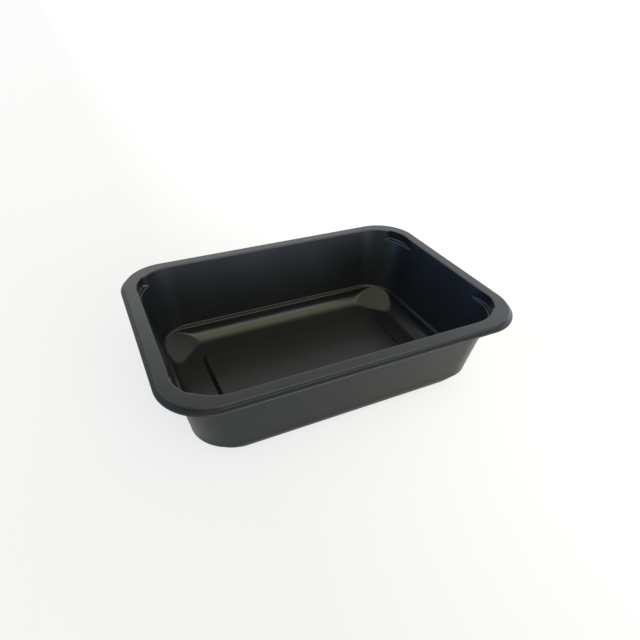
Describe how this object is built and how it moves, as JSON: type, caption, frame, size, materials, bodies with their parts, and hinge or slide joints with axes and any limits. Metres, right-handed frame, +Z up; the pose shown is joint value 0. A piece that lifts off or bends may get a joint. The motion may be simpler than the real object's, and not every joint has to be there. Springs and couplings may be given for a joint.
{
  "type": "food tray",
  "caption": "Black heat-sealable ready-meal tray formed in one piece, with a flat sealing flange, a ledge above a rounded foot, corner pads and a raised base panel.",
  "frame": {"origin": "centre of the tray on the plane that the underside of its base rests on", "axes": "+X along the long sides, +Y across the tray, +Z up out of the open side"},
  "size_m": [0.19, 0.134, 0.0495],
  "materials": {
    "tray_plastic": "satin"
  },
  "bodies": {
    "root": {"tray": "tray_plastic"}
  },
  "joints": []
}
